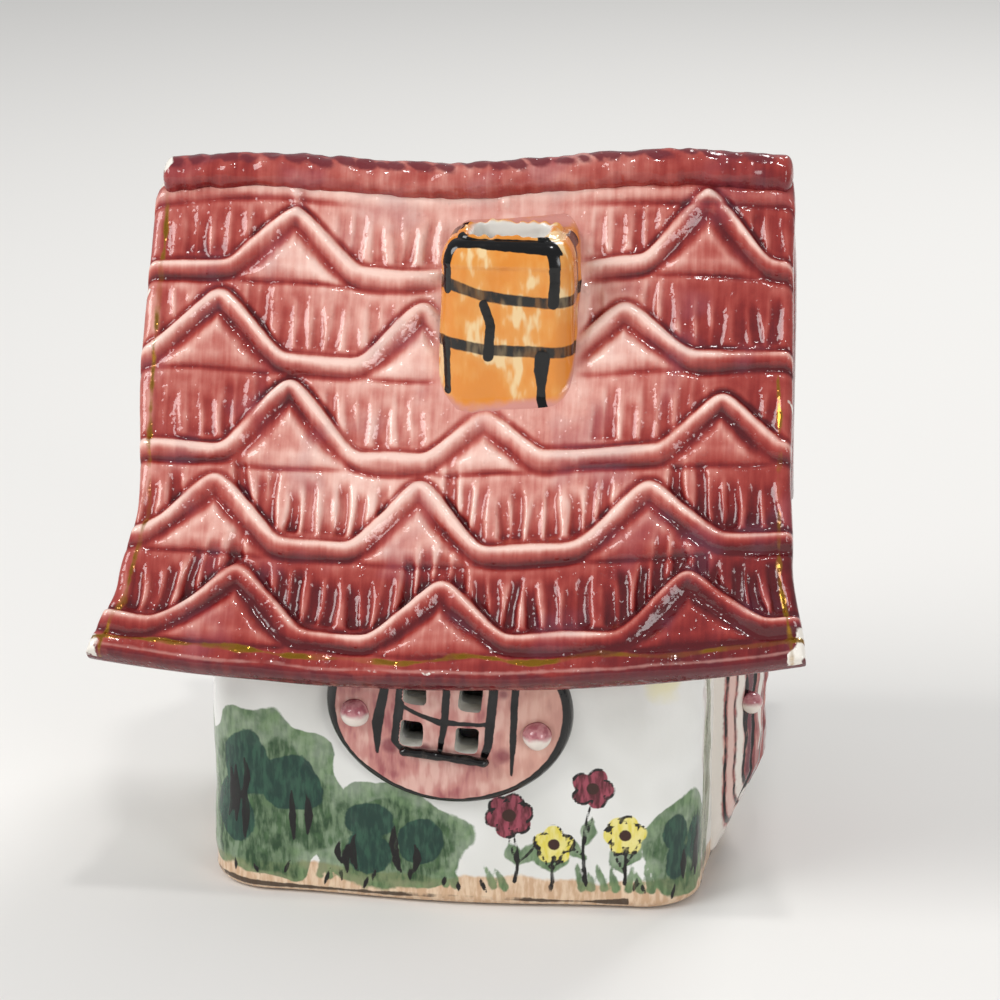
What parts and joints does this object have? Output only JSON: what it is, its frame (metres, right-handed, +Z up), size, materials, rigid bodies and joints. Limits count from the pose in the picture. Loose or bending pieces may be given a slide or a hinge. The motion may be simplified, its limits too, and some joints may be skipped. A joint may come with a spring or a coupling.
{
  "type": "house-shaped tea light holder",
  "caption": "Cottage-shaped ceramic tea light holder: hollow house with a pierced window, lift-off thatched roof with an open chimney, and a tea light on its floor.",
  "frame": {"origin": "middle of the foot, on the plane it stands on", "axes": "+X along the ridge towards the door gable, -Y out of the front wall with the window, +Z up"},
  "size_m": [0.147, 0.1178, 0.1552],
  "materials": {
    "white_glaze": "glossy hand-painted white glaze",
    "pink_glaze": "glossy pink wash over white",
    "mauve_glaze": "glossy pooled mauve glaze",
    "ochre_glaze": "glossy ochre wash with black lines",
    "black_glaze": "glossy black glaze",
    "cup_foil": "drawn foil",
    "wax": "white paraffin",
    "wick": "waxed cotton"
  },
  "bodies": {
    "house": {"floor_slab": "white_glaze", "house_walls": "white_glaze", "window_pad": "pink_glaze", "window_sill": "black_glaze", "shutter_knob_left": "pink_glaze", "shutter_knob_right": "pink_glaze", "gable_door": "mauve_glaze", "door_knob": "pink_glaze"},
    "roof": {"roof_shell": "mauve_glaze", "ridge_roll": "mauve_glaze", "chimney_stack": "ochre_glaze", "roof_rib_left": "mauve_glaze", "roof_rib_right": "mauve_glaze"},
    "tealight": {"tealight_cup": "cup_foil", "tealight_wax": "wax", "wick_sustainer": "cup_foil", "tealight_wick": "wick"}
  },
  "joints": [
    {"name": "roof_lift", "type": "slide", "parent": "house", "child": "roof", "axis": [0, 0, 1], "range_m": [0, 0.11]},
    {"name": "tealight_lift", "type": "slide", "parent": "house", "child": "tealight", "axis": [0, 0, 1], "range_m": [0, 0.075]}
  ]
}
